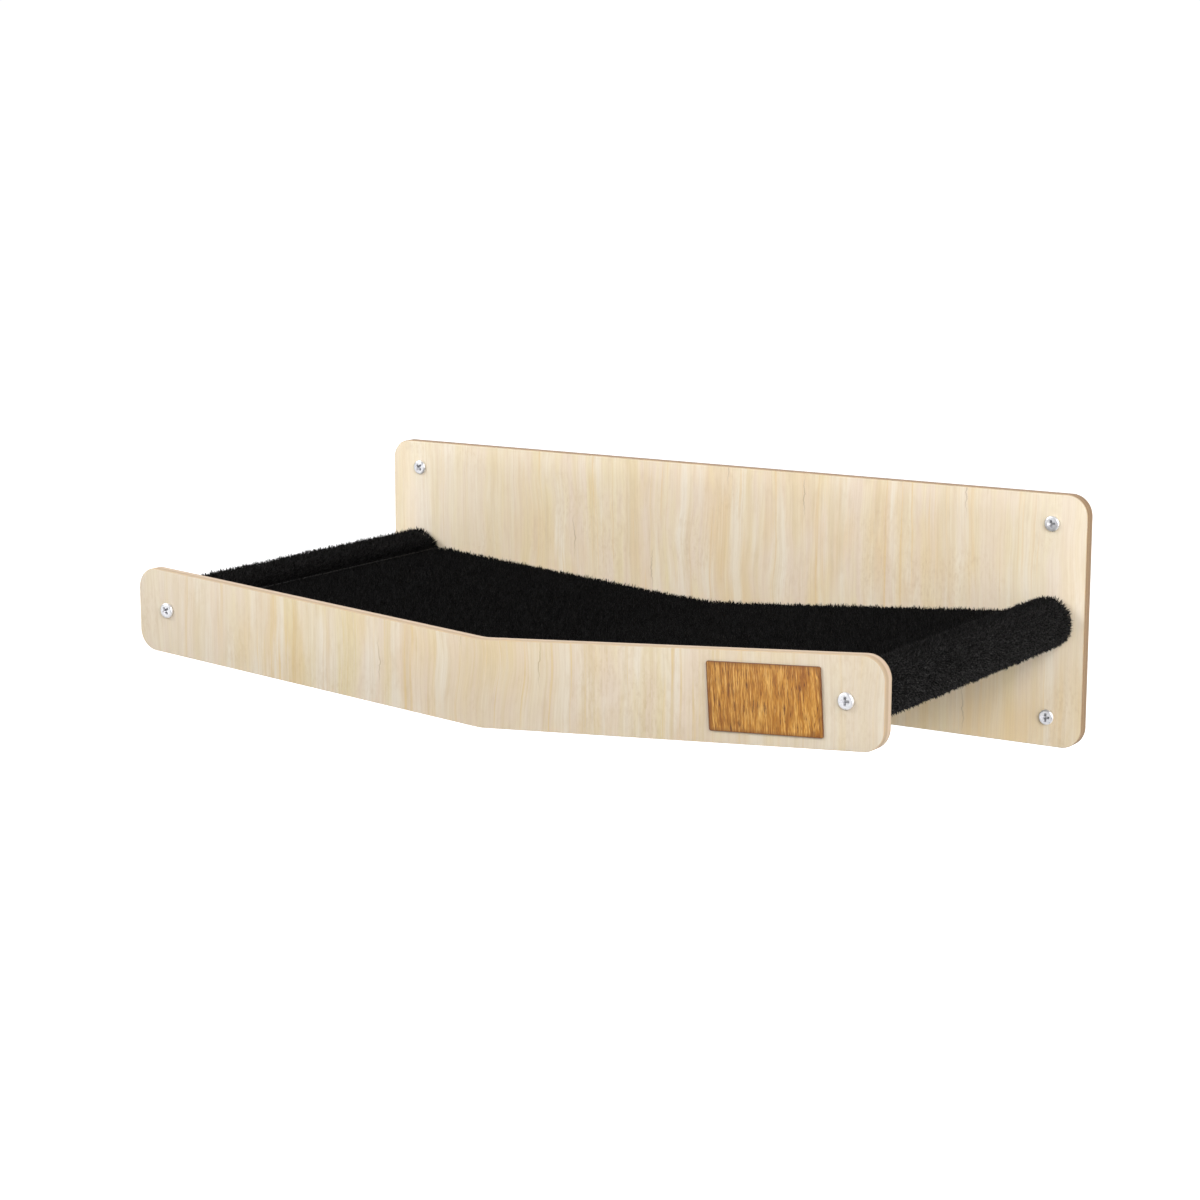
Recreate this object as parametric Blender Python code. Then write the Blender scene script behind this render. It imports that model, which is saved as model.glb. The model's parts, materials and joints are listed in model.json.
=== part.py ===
# Wall-mounted cat hammock: a plush sling on two wooden rods, between a back panel that is screwed
# to the wall and a lower front panel in a shallow V. Metres, +Z up, +X to the right as seen from
# the front. The origin is the middle of the back panel's rear face, which lies on the wall.

import math

import bmesh
import bpy
from mathutils import Vector

# Gap that every pair of touching pieces keeps
SEAT_GAP = 0.0003

# Panels, cut from one thickness of board
PANEL_WIDTH = 0.600
BOARD_THICKNESS = 0.009
PANEL_SPACING = 0.295  # clear distance between the two panels
BACK_HEIGHT = 0.180
BACK_CORNER_RADIUS = 0.015
FRONT_HEIGHT = 0.060
FRONT_CORNER_RADIUS = 0.015
FRONT_DROP = 0.022  # the front panel's middle hangs this far below its ends
FRONT_BEND_RADIUS = 0.050
PANEL_ARRIS = 0.0004

# Rods that carry the sling
ROD_DIAMETER = 0.025
ROD_INSET = 0.026  # from a panel's end to the rod's axis
ROD_HEIGHT = -0.0005  # above the middle of the back panel
ROD_ARRIS = 0.0008

# Sling: one cloth whose two ends are sewn back into sleeves
CLOTH_THICKNESS = 0.0050  # knitted backing and standing pile together
SLING_END_CLEARANCE = 0.0005
SLEEVE_SEAM_RISE = 0.0060  # the bed's face leaves the sleeve this far above the rod's axis
BED_DROP = 0.0190  # the middle of the bed lies this far below the seams
BED_ROUNDING = 0.020  # half width of the rounded bottom of the V
HEM_WIDTH = 0.014
HEM_THICKNESS = 0.003

# Screws
SCREW_DIAMETER = 0.005
SCREW_TIP_LENGTH = 0.006
PAN_HEAD_DIAMETER = 0.011
PAN_HEAD_HEIGHT = 0.0032
PAN_HEAD_RIM = 0.0009  # straight part of the pan head's side
CROSS_SPAN = 0.0052
CROSS_WIDTH = 0.0012
CROSS_DEPTH = 0.0021
CROSS_TAPER = 0.45  # the recess's floor against its mouth
ROD_SCREW_LENGTH = 0.040
WALL_SCREW_LENGTH = 0.050
COUNTERSUNK_DIAMETER = 0.0092
COUNTERSUNK_RIM = 0.0003
COUNTERSUNK_RECESS = 0.0006  # below the wall face
PILOT_END_SPACE = 0.0008  # past the screw's tip, inside a rod

# Places of the wall screws, from the back panel's ends and edges
WALL_SCREW_INSET_X = 0.026
WALL_SCREW_INSET_Z = 0.021

# Wall plugs
PLUG_WALL = 0.0012
PLUG_LENGTH = 0.040
PLUG_RECESS = 0.0025  # below the surface of the wall
PLUG_BARBS = 4
PLUG_BARB_DEPTH = 0.0004
PLUG_COLLAR_LENGTH = 0.010  # unslotted mouth
PLUG_SLOT_WIDTH = 0.0010

# Badge plate on the front panel, left bare
BADGE_WIDTH = 0.080
BADGE_MARGIN = 0.0077  # from the front panel's upper and lower edge to the plate
BADGE_THICKNESS = 0.0010
BADGE_CORNER_RADIUS = 0.0008
BADGE_INSET = 0.0828  # from the front panel's right end to the middle of the plate
BADGE_ASKEW = math.radians(0.5)  # the plate is stuck on this much flatter than the panel's slope

# How finely round shapes are cut
CORNER_STEP = math.radians(7.5)
ROD_SIDES = 32
SCREW_SIDES = 20
DOME_STEPS = 4
PLUG_SIDES = 16
SLEEVE_SIDES = 40
BED_STEPS = 16
BED_CROWDING = 1.7  # above 1, the bed's steps crowd towards its rounded bottom

# Places that follow from the sizes above
BACK_FRONT_FACE = -BOARD_THICKNESS
FRONT_REAR_FACE = BACK_FRONT_FACE - PANEL_SPACING
FRONT_FRONT_FACE = FRONT_REAR_FACE - BOARD_THICKNESS
ROD_X = PANEL_WIDTH / 2 - ROD_INSET
ROD_REAR_END = BACK_FRONT_FACE - SEAT_GAP
ROD_FRONT_END = FRONT_REAR_FACE + SEAT_GAP
BORE_RADIUS = SCREW_DIAMETER / 2 + SEAT_GAP
SLEEVE_BORE = ROD_DIAMETER / 2 + SEAT_GAP
SLEEVE_RADIUS = SLEEVE_BORE + CLOTH_THICKNESS
WALL_SCREW_X = PANEL_WIDTH / 2 - WALL_SCREW_INSET_X
WALL_SCREW_Z = BACK_HEIGHT / 2 - WALL_SCREW_INSET_Z
PLUG_RADIUS = BORE_RADIUS + PLUG_WALL
FRONT_SEAT = FRONT_FRONT_FACE - SEAT_GAP
FRONT_SLOPE = math.atan2(FRONT_DROP, PANEL_WIDTH / 2)
BADGE_HEIGHT = FRONT_HEIGHT * math.cos(FRONT_SLOPE) - 2 * BADGE_MARGIN
REAR_SCREW_TOP = -COUNTERSUNK_RECESS
COUNTERSUNK_GAP = SEAT_GAP * math.sqrt(2)

FACING_FRONT = math.radians(90)
FACING_WALL = math.radians(-90)


def clear_scene():
    for thing in list(bpy.data.objects):
        bpy.data.objects.remove(thing, do_unlink=True)


def make_material(name, colour, roughness, metallic=0.0):
    material = bpy.data.materials.new(name)
    material.use_nodes = True
    shader = material.node_tree.nodes["Principled BSDF"]
    shader.inputs["Base Color"].default_value = (*colour, 1.0)
    shader.inputs["Roughness"].default_value = roughness
    shader.inputs["Metallic"].default_value = metallic
    return material


def make_object(name, bm, material=None, smooth_below=None):
    """Turns a bmesh into an object of the scene, with its faces pointing out."""
    bmesh.ops.remove_doubles(bm, verts=bm.verts, dist=1e-6)
    bmesh.ops.recalc_face_normals(bm, faces=bm.faces)
    mesh = bpy.data.meshes.new(name)
    bm.to_mesh(mesh)
    bm.free()
    if smooth_below is not None:
        mesh.shade_smooth()
        mesh.set_sharp_from_angle(angle=smooth_below)
    if material:
        mesh.materials.append(material)
    thing = bpy.data.objects.new(name, mesh)
    bpy.context.scene.collection.objects.link(thing)
    return thing


def hide_helper(thing):
    thing.hide_render = True
    thing.display_type = "WIRE"
    return thing


def cut(thing, cutter):
    modifier = thing.modifiers.new("Cut " + cutter.name, "BOOLEAN")
    modifier.operation = "DIFFERENCE"
    modifier.solver = "EXACT"
    modifier.object = cutter


def soften_edges(thing, width):
    bevel = thing.modifiers.new("Arris", "BEVEL")
    bevel.width = width
    bevel.segments = 1
    bevel.limit_method = "ANGLE"
    bevel.angle_limit = math.radians(60)


def rounded_outline(corners):
    """Points of a closed outline in X and Z, from (x, z, radius) corners."""
    points = []
    for i, (x, z, radius) in enumerate(corners):
        corner = Vector((x, z))
        back = (Vector(corners[i - 1][:2]) - corner).normalized()
        ahead = (Vector(corners[(i + 1) % len(corners)][:2]) - corner).normalized()
        half = back.angle(ahead) / 2
        centre = corner + (back + ahead).normalized() * radius / math.sin(half)
        start = corner + back * radius / math.tan(half) - centre
        sweep = start.angle_signed(corner + ahead * radius / math.tan(half) - centre)
        steps = max(2, math.ceil(abs(sweep) / CORNER_STEP))
        for step in range(steps + 1):
            turn = -sweep * step / steps
            points.append(
                centre
                + Vector(
                    (
                        start.x * math.cos(turn) - start.y * math.sin(turn),
                        start.x * math.sin(turn) + start.y * math.cos(turn),
                    )
                )
            )
    return points


def circle(x, z, radius, sides, first=0.0, last=2 * math.pi):
    """Points round a circle in X and Z, without the last one, so that a full turn closes."""
    return [
        Vector(
            (
                x + radius * math.cos(first + (last - first) * i / sides),
                z + radius * math.sin(first + (last - first) * i / sides),
            )
        )
        for i in range(sides)
    ]


def plate(name, outlines, rear, front, material):
    """A flat piece in X and Z from its rear to its front face. Outlines after the first are holes."""
    bm = bmesh.new()
    edges = []
    for outline in outlines:
        corners = [bm.verts.new((point.x, rear, point.y)) for point in outline]
        for i, corner in enumerate(corners):
            edges.append(bm.edges.new((corner, corners[(i + 1) % len(corners)])))
    if len(outlines) == 1:
        faces = [bm.faces.new(corners)]
    else:
        filled = bmesh.ops.triangle_fill(bm, use_beauty=True, edges=edges)
        faces = [item for item in filled["geom"] if isinstance(item, bmesh.types.BMFace)]
    grown = bmesh.ops.extrude_face_region(bm, geom=faces, use_keep_orig=True)
    moved = [item for item in grown["geom"] if isinstance(item, bmesh.types.BMVert)]
    bmesh.ops.translate(bm, verts=moved, vec=(0, front - rear, 0))
    return make_object(name, bm, material)


def turned(name, profile, sides, material=None, smooth_below=math.radians(35)):
    """A turned piece round its own Z axis, from (radius, height) points that start and end on the axis."""
    bm = bmesh.new()
    points = [bm.verts.new((radius, 0, height)) for radius, height in profile]
    edges = [bm.edges.new(pair) for pair in zip(points, points[1:])]
    bmesh.ops.spin(
        bm,
        geom=points + edges,
        cent=(0, 0, 0),
        axis=(0, 0, 1),
        angle=2 * math.pi,
        steps=sides,
        use_merge=True,
    )
    return make_object(name, bm, material, smooth_below)


def bore(name, x, y, z, depth, radius):
    """Cutter for a straight hole along Y, its middle at the given point."""
    bm = bmesh.new()
    bmesh.ops.create_cone(
        bm, cap_ends=True, segments=SCREW_SIDES, radius1=radius, radius2=radius, depth=depth
    )
    cutter = hide_helper(make_object(name, bm))
    cutter.location = (x, y, z)
    cutter.rotation_euler = (FACING_FRONT, 0, 0)
    return cutter


def wall_screw_places():
    for row, z in (("top", WALL_SCREW_Z), ("bottom", -WALL_SCREW_Z)):
        for side, x in (("left", -WALL_SCREW_X), ("right", WALL_SCREW_X)):
            yield f"{row}_{side}", x, z


def rod_places():
    yield "left", -ROD_X
    yield "right", ROD_X


def countersunk_profile(grow, length, tip):
    """Half section of a countersunk screw from its top at height 0, grown all round by a gap."""
    head = COUNTERSUNK_DIAMETER / 2 + grow
    shank = SCREW_DIAMETER / 2 + grow
    return [
        (0, grow),
        (head, grow),
        (head, -COUNTERSUNK_RIM),
        (shank, -COUNTERSUNK_RIM - (head - shank)),
        (shank, -length + tip),
        (0, -length),
    ]


def make_back_panel(material):
    half_width = PANEL_WIDTH / 2
    half_height = BACK_HEIGHT / 2
    outline = rounded_outline(
        [
            (-half_width, half_height, BACK_CORNER_RADIUS),
            (half_width, half_height, BACK_CORNER_RADIUS),
            (half_width, -half_height, BACK_CORNER_RADIUS),
            (-half_width, -half_height, BACK_CORNER_RADIUS),
        ]
    )
    panel = plate("back_panel", [outline], 0, BACK_FRONT_FACE, material)
    soften_edges(panel, PANEL_ARRIS)
    for place, x, z in wall_screw_places():
        cut(panel, bore("wall_hole_" + place, x, BACK_FRONT_FACE / 2, z, 2 * BOARD_THICKNESS, BORE_RADIUS))
    sink = countersunk_profile(COUNTERSUNK_GAP, 2 * BOARD_THICKNESS, 0)
    sink[0] = (0, BOARD_THICKNESS)
    sink[1] = (sink[1][0], BOARD_THICKNESS)
    for side, x in rod_places():
        cutter = hide_helper(turned("rear_hole_" + side, sink, SCREW_SIDES))
        cutter.location = (x, REAR_SCREW_TOP, ROD_HEIGHT)
        cutter.rotation_euler = (FACING_WALL, 0, 0)
        cut(panel, cutter)
    return panel


def front_middle(x):
    """Height of the front panel's centre line."""
    return -FRONT_DROP * (1 - abs(x) / (PANEL_WIDTH / 2))


def make_front_panel(material):
    half_width = PANEL_WIDTH / 2
    half_height = FRONT_HEIGHT / 2
    outline = rounded_outline(
        [
            (-half_width, half_height, FRONT_CORNER_RADIUS),
            (0, half_height - FRONT_DROP, FRONT_BEND_RADIUS),
            (half_width, half_height, FRONT_CORNER_RADIUS),
            (half_width, -half_height, FRONT_CORNER_RADIUS),
            (0, -half_height - FRONT_DROP, FRONT_BEND_RADIUS),
            (-half_width, -half_height, FRONT_CORNER_RADIUS),
        ]
    )
    panel = plate("front_panel", [outline], FRONT_REAR_FACE, FRONT_FRONT_FACE, material)
    soften_edges(panel, PANEL_ARRIS)
    middle = (FRONT_REAR_FACE + FRONT_FRONT_FACE) / 2
    for side, x in rod_places():
        cut(panel, bore("front_hole_" + side, x, middle, ROD_HEIGHT, 2 * BOARD_THICKNESS, BORE_RADIUS))
    return panel


def make_badge_plate(material):
    half_width = BADGE_WIDTH / 2
    half_height = BADGE_HEIGHT / 2
    outline = rounded_outline(
        [
            (-half_width, half_height, BADGE_CORNER_RADIUS),
            (half_width, half_height, BADGE_CORNER_RADIUS),
            (half_width, -half_height, BADGE_CORNER_RADIUS),
            (-half_width, -half_height, BADGE_CORNER_RADIUS),
        ]
    )
    badge = plate("badge_plate", [outline], 0, -BADGE_THICKNESS, material)
    x = PANEL_WIDTH / 2 - BADGE_INSET
    badge.location = (x, FRONT_SEAT, front_middle(x))
    badge.rotation_euler = (0, BADGE_ASKEW - FRONT_SLOPE, 0)
    return badge


def make_rods(material):
    """Two dowels with a pilot hole in each end, for the rear and the front screw."""
    radius = ROD_DIAMETER / 2
    rear_depth = REAR_SCREW_TOP - ROD_SCREW_LENGTH - PILOT_END_SPACE
    front_depth = FRONT_SEAT + ROD_SCREW_LENGTH + PILOT_END_SPACE
    profile = [
        (0, front_depth),
        (BORE_RADIUS, front_depth - BORE_RADIUS),
        (BORE_RADIUS, ROD_FRONT_END),
        (radius - ROD_ARRIS, ROD_FRONT_END),
        (radius, ROD_FRONT_END + ROD_ARRIS),
        (radius, ROD_REAR_END - ROD_ARRIS),
        (radius - ROD_ARRIS, ROD_REAR_END),
        (BORE_RADIUS, ROD_REAR_END),
        (BORE_RADIUS, rear_depth + BORE_RADIUS),
        (0, rear_depth),
    ]
    for side, x in rod_places():
        rod = turned("rod_" + side, profile, ROD_SIDES, material)
        rod.location = (x, 0, ROD_HEIGHT)
        rod.rotation_euler = (FACING_WALL, 0, 0)


def bed_height(x, seam_x):
    """Height of the bed's face: a taut shallow V with a rounded bottom, from seam to seam."""

    def sag(at):
        return math.hypot(at, BED_ROUNDING)

    share = (sag(seam_x) - sag(x)) / (sag(seam_x) - sag(0))
    return ROD_HEIGHT + SLEEVE_SEAM_RISE - BED_DROP * share


def sling_outline():
    """Section of the cloth in X and Z, clockwise from the middle of the bed's face."""
    seam_x = ROD_X - math.sqrt(SLEEVE_RADIUS**2 - SLEEVE_SEAM_RISE**2)
    hem_rise = SLEEVE_SEAM_RISE - CLOTH_THICKNESS - HEM_THICKNESS
    hem_end = seam_x - HEM_WIDTH
    steps = (seam_x * (i / BED_STEPS) ** BED_CROWDING for i in range(BED_STEPS))
    face = [Vector((x, bed_height(x, seam_x))) for x in steps]
    first = math.pi - math.asin(SLEEVE_SEAM_RISE / SLEEVE_RADIUS)
    last = -math.pi - math.asin(hem_rise / SLEEVE_RADIUS)
    sleeve = circle(ROD_X, ROD_HEIGHT, SLEEVE_RADIUS, SLEEVE_SIDES, first, last)
    sleeve.append(
        Vector(
            (
                ROD_X + SLEEVE_RADIUS * math.cos(last),
                ROD_HEIGHT + SLEEVE_RADIUS * math.sin(last),
            )
        )
    )
    under = bed_height(hem_end, seam_x) - CLOTH_THICKNESS
    hem = [Vector((hem_end, under - HEM_THICKNESS)), Vector((hem_end, under))]
    back = [Vector((point.x, point.y - CLOTH_THICKNESS)) for point in reversed(face) if point.x < hem_end]
    right = face + sleeve + hem + back
    left = [Vector((-point.x, point.y)) for point in reversed(right) if point.x > 0]
    return right + left


def make_sling(material):
    outlines = [sling_outline()]
    for _, x in rod_places():
        outlines.append(circle(x, ROD_HEIGHT, SLEEVE_BORE, ROD_SIDES))
    rear = BACK_FRONT_FACE - SLING_END_CLEARANCE
    front = FRONT_REAR_FACE + SLING_END_CLEARANCE
    sling = plate("sling", outlines, rear, front, material)
    sling.data.shade_smooth()
    sling.data.set_sharp_from_angle(angle=math.radians(35))
    return sling


def make_cross_cutter():
    """Cutter for the cross recess: a plus that tapers inwards, its mouth just above height 0."""
    bm = bmesh.new()
    span = CROSS_SPAN / 2
    width = CROSS_WIDTH / 2
    quarter = [(span, -width), (span, width), (width, width)]
    loops = []
    for height, size in ((CROSS_DEPTH / 2, 1.0), (-CROSS_DEPTH, CROSS_TAPER)):
        loop = []
        for turn in range(4):
            c = round(math.cos(turn * math.pi / 2))
            s = round(math.sin(turn * math.pi / 2))
            for x, y in quarter:
                loop.append(bm.verts.new(((x * c - y * s) * size, (x * s + y * c) * size, height)))
        loops.append(loop)
        bm.faces.new(loop)
    count = len(loops[0])
    for i in range(count):
        j = (i + 1) % count
        bm.faces.new((loops[0][i], loops[0][j], loops[1][j], loops[1][i]))
    return hide_helper(make_object("cross_recess", bm))


def pan_profile(length):
    """Half section of a pan-head screw, its seat at height 0 and its tip downwards."""
    head = PAN_HEAD_DIAMETER / 2
    dome = PAN_HEAD_HEIGHT - PAN_HEAD_RIM
    shank = SCREW_DIAMETER / 2
    crown = [(0, PAN_HEAD_HEIGHT)]
    for step in range(DOME_STEPS - 1, 0, -1):
        turn = math.pi / 2 * step / DOME_STEPS
        crown.append((head * math.cos(turn), PAN_HEAD_RIM + dome * math.sin(turn)))
    crown += [(head, PAN_HEAD_RIM), (head, 0)]
    return crown + [(shank, 0), (shank, -length + SCREW_TIP_LENGTH), (0, -length)]


def make_screw(name, profile, top, material, place, facing, turn, recess):
    """A screw whose own +Z is its head's way out: facing tips it to the front or to the wall."""
    screw = turned(name, profile, SCREW_SIDES, material)
    screw.location = place
    screw.rotation_euler = (facing, -turn if facing == FACING_FRONT else turn, 0)
    cutter = bpy.data.objects.new("cross_recess_" + name, recess.data)
    bpy.context.scene.collection.objects.link(cutter)
    hide_helper(cutter)
    cutter.parent = screw
    cutter.location = (0, 0, top)
    cut(screw, cutter)
    return screw


def make_screws(zinc):
    recess = make_cross_cutter()
    wall_seat = BACK_FRONT_FACE - SEAT_GAP
    turns = {"top_left": 45, "top_right": 8, "bottom_left": 70, "bottom_right": 0}
    for place, x, z in wall_screw_places():
        make_screw(
            "wall_screw_" + place,
            pan_profile(WALL_SCREW_LENGTH),
            PAN_HEAD_HEIGHT,
            zinc,
            (x, wall_seat, z),
            FACING_FRONT,
            math.radians(turns[place]),
            recess,
        )
    turns = {"left": 38, "right": 0}
    for side, x in rod_places():
        make_screw(
            "front_screw_" + side,
            pan_profile(ROD_SCREW_LENGTH),
            PAN_HEAD_HEIGHT,
            zinc,
            (x, FRONT_SEAT, ROD_HEIGHT),
            FACING_FRONT,
            math.radians(turns[side]),
            recess,
        )
        make_screw(
            "rear_screw_" + side,
            countersunk_profile(0, ROD_SCREW_LENGTH, SCREW_TIP_LENGTH),
            0,
            zinc,
            (x, REAR_SCREW_TOP, ROD_HEIGHT),
            FACING_WALL,
            math.radians(turns[side]),
            recess,
        )


def make_wall_plugs(material):
    """Nylon plugs round the tails of the wall screws, barbed outside and slotted from the far end."""
    barb = (PLUG_LENGTH - PLUG_COLLAR_LENGTH) / (PLUG_BARBS + 1)
    outside = [(PLUG_RADIUS, 0), (PLUG_RADIUS, -PLUG_COLLAR_LENGTH)]
    for i in range(PLUG_BARBS):
        start = -PLUG_COLLAR_LENGTH - i * barb
        outside += [(PLUG_RADIUS - PLUG_BARB_DEPTH, start - barb / 4), (PLUG_RADIUS, start - barb)]
    outside.append((PLUG_RADIUS - PLUG_BARB_DEPTH, -PLUG_LENGTH))
    profile = [(BORE_RADIUS, 0)] + outside + [(BORE_RADIUS, -PLUG_LENGTH), (BORE_RADIUS, 0)]
    slot_length = PLUG_LENGTH - PLUG_COLLAR_LENGTH
    for place, x, z in wall_screw_places():
        plug = turned("wall_plug_" + place, profile, PLUG_SIDES, material)
        plug.location = (x, PLUG_RECESS, z)
        plug.rotation_euler = (FACING_FRONT, 0, 0)
        bm = bmesh.new()
        bmesh.ops.create_cube(bm, size=1)
        bmesh.ops.scale(bm, vec=(PLUG_SLOT_WIDTH, 4 * PLUG_RADIUS, 2 * slot_length), verts=bm.verts)
        slot = hide_helper(make_object("plug_slot_" + place, bm))
        slot.location = (x, PLUG_RECESS + PLUG_LENGTH, z)
        slot.rotation_euler = (FACING_FRONT, 0, 0)
        cut(plug, slot)


def group_under_empty():
    frame = bpy.data.objects.new("cat_hammock", None)
    bpy.context.scene.collection.objects.link(frame)
    for thing in bpy.context.scene.collection.objects:
        if thing is not frame and thing.parent is None:
            thing.parent = frame


def main():
    clear_scene()
    board = make_material("pale_board", (0.72, 0.60, 0.44), 0.55)
    dowel = make_material("dowel_beech", (0.62, 0.45, 0.28), 0.6)
    plush = make_material("black_plush", (0.012, 0.012, 0.013), 0.95)
    zinc = make_material("bright_zinc", (0.78, 0.79, 0.82), 0.28, 1.0)
    nylon = make_material("grey_nylon", (0.42, 0.43, 0.44), 0.5)
    stained = make_material("brown_plate", (0.50, 0.24, 0.07), 0.5)
    make_back_panel(board)
    make_front_panel(board)
    make_badge_plate(stained)
    make_rods(dowel)
    make_sling(plush)
    make_screws(zinc)
    make_wall_plugs(nylon)
    group_under_empty()


main()
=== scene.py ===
import json
import math

import bmesh
import bpy
from mathutils import Matrix, Vector

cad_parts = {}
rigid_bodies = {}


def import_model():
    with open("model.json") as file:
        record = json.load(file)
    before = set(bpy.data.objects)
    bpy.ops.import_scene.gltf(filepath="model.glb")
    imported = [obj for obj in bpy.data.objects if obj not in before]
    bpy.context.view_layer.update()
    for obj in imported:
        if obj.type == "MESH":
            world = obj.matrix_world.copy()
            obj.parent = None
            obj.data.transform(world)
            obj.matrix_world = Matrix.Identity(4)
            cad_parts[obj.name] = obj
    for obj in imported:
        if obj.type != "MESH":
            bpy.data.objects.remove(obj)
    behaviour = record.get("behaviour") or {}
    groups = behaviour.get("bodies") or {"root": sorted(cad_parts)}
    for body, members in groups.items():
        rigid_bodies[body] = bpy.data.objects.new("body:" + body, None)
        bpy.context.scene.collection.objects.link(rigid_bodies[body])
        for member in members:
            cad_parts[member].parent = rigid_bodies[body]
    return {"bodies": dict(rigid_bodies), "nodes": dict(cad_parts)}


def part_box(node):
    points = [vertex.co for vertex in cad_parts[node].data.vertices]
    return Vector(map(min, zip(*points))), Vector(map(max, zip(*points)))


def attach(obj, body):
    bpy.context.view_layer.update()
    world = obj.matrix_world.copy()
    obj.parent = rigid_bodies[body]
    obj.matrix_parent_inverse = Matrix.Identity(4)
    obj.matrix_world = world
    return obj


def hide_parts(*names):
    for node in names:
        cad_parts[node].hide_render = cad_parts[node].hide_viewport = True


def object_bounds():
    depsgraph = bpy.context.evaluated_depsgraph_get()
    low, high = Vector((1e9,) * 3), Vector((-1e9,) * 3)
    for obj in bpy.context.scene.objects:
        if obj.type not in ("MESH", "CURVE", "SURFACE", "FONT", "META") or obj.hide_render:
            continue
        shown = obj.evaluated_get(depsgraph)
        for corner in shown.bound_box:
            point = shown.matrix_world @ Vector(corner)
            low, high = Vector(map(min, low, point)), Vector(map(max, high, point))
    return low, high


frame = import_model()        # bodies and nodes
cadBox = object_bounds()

# A cat hammock for a wall: a plush sling on two rods between a back and a front board.
# Lengths are metres. +X is right as seen from the front, +Y goes into the wall, +Z is up.
(body,) = frame["bodies"]
scene = bpy.context.scene


def corners(node):
    low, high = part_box(node)
    return Vector(low), Vector(high)


def middle(node):
    low, high = corners(node)
    return (low + high) / 2


def paint(red, green, blue):
    # a screen colour of 0 to 255 as the linear one that shaders take
    def linear(value):
        value /= 255
        return value / 12.92 if value <= .04045 else ((value + .055) / 1.055) ** 2.4
    return (linear(red), linear(green), linear(blue), 1)


# Node trees, for materials and for geometry alike
def feed(tree, socket, value):
    if isinstance(value, bpy.types.Node):
        value = value.outputs[0]
    if isinstance(value, bpy.types.NodeSocket):
        tree.links.new(value, socket)
    else:
        socket.default_value = value


def addNode(tree, kind, inputs=None, **settings):
    made = tree.nodes.new(kind)
    for name, value in settings.items():
        setattr(made, name, value)
    for name, value in (inputs or {}).items():
        feed(tree, made.inputs[name], value)
    return made


def calc(tree, operation, *values):
    return addNode(tree, "ShaderNodeMath", dict(enumerate(values)), operation=operation).outputs[0]


def plus(tree, first, second):
    return calc(tree, "ADD", first, second)


def minus(tree, first, second):
    return calc(tree, "SUBTRACT", first, second)


def times(tree, first, second):
    return calc(tree, "MULTIPLY", first, second)


def calcVector(tree, operation, *values):
    made = addNode(tree, "ShaderNodeVectorMath", dict(enumerate(values)), operation=operation)
    return made.outputs[0]


def grow(tree, vector, factor):
    made = addNode(tree, "ShaderNodeVectorMath", {0: vector, "Scale": factor}, operation="SCALE")
    return made.outputs[0]


def split(tree, vector):
    return addNode(tree, "ShaderNodeSeparateXYZ", {0: vector}).outputs


def join(tree, x, y, z):
    return addNode(tree, "ShaderNodeCombineXYZ", {0: x, 1: y, 2: z}).outputs[0]


def remap(tree, value, low, high, newLow, newHigh):
    return addNode(tree, "ShaderNodeMapRange", {0: value, 1: low, 2: high, 3: newLow, 4: newHigh}).outputs[0]


def mixColour(tree, factor, first, second):
    made = addNode(tree, "ShaderNodeMix", data_type="RGBA")
    feed(tree, made.inputs[0], factor)
    feed(tree, made.inputs[6], first)
    feed(tree, made.inputs[7], second)
    return made.outputs[2]


def overlay(tree, colour, tint, mask, *spread):
    # lays a tint over the colour, by the share that remap makes of the mask
    return mixColour(tree, remap(tree, mask, *spread), colour, tint)


def colourRamp(tree, factor, stops):
    made = addNode(tree, "ShaderNodeValToRGB", {0: factor})
    points = made.color_ramp.elements
    points[0].position, points[0].color = stops[0]
    points[1].position, points[1].color = stops[-1]
    for place, colour in stops[1:-1]:
        points.new(place).color = colour
    return made.outputs[0]


def noiseAt(tree, place, stretch, detail=2.0, rough=.5, shift=(0, 0, 0), turn=(0, 0, 0)):
    # stretch is the number of noise cells per metre along X, Y and Z
    spot = addNode(tree, "ShaderNodeMapping", {
        "Vector": place, "Scale": stretch, "Rotation": turn, "Location": shift,
    })
    return addNode(tree, "ShaderNodeTexNoise", {
        "Vector": spot, "Scale": 1, "Detail": detail, "Roughness": rough,
    }).outputs[0]


def newMaterial(name, roughness, metallic=0):
    material = bpy.data.materials.new(name)
    material.use_nodes = True
    tree = material.node_tree
    shader = tree.nodes["Principled BSDF"]
    shader.inputs["Roughness"].default_value = roughness
    shader.inputs["Metallic"].default_value = metallic
    place = tree.nodes.new("ShaderNodeTexCoord").outputs["Object"]
    return material, tree, shader, place


def bumpFrom(tree, shader, height, depth):
    made = addNode(tree, "ShaderNodeBump", {"Height": height, "Distance": depth, "Strength": 1})
    feed(tree, shader.inputs["Normal"], made)


def coat(tree, shader, colour, grain=None, depth=0, rough=None):
    # the colour, with a bump and a roughness that follow the same grain
    feed(tree, shader.inputs["Base Color"], colour)
    if depth:
        bumpFrom(tree, shader, grain, depth)
    if rough:
        feed(tree, shader.inputs["Roughness"], remap(tree, grain, .3, .7, *rough))


# Geometry Nodes: a tree with named inputs, run on a mesh that holds its points
def floats(*labels):
    return dict.fromkeys(labels, "Float")


def newTree(name, inputs):
    tree = bpy.data.node_groups.new(name, "GeometryNodeTree")
    tree.interface.new_socket("Geometry", in_out="INPUT", socket_type="NodeSocketGeometry")
    for label, kind in inputs.items():
        tree.interface.new_socket(label, in_out="INPUT", socket_type="NodeSocket" + kind)
    tree.interface.new_socket("Geometry", in_out="OUTPUT", socket_type="NodeSocketGeometry")
    return tree, tree.nodes.new("NodeGroupInput").outputs


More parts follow.
